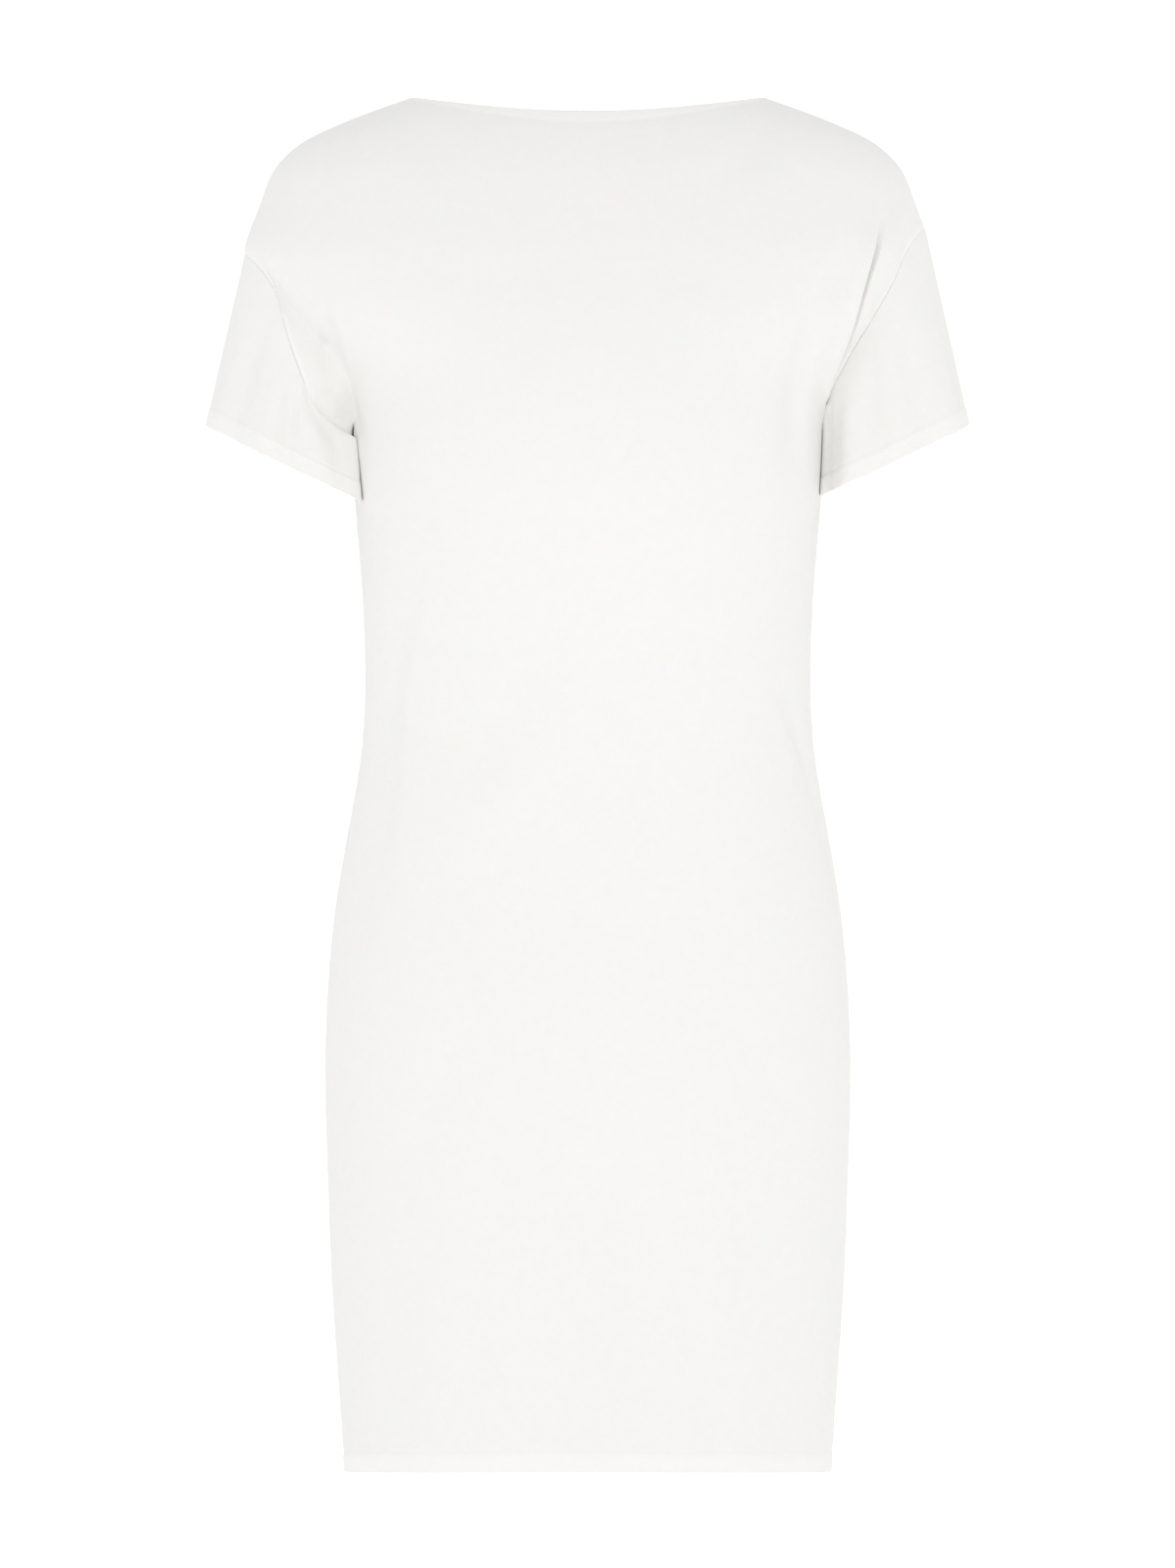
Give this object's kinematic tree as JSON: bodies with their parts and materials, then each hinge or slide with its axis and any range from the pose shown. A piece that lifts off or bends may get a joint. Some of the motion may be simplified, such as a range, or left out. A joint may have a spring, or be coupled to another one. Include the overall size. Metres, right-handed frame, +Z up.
{
  "type": "mini dress",
  "caption": "Hollow white mini dress with a wide boat neck, dropped shoulders and short open sleeves, shaped as if worn, straight hem.",
  "frame": {"origin": "on the wearer's shoulder line, midway between the two neck points, where the shoulders hold the dress", "axes": "+Z up along the wearer, the front faces -Y, +X towards the wearer's left"},
  "size_m": [0.4728, 0.2437, 0.8501],
  "materials": {
    "dress_cloth": "matt fine stretch crepe, off-white"
  },
  "bodies": {
    "root": {"front": "dress_cloth", "back": "dress_cloth", "sleeve_left": "dress_cloth", "sleeve_right": "dress_cloth"}
  },
  "joints": []
}
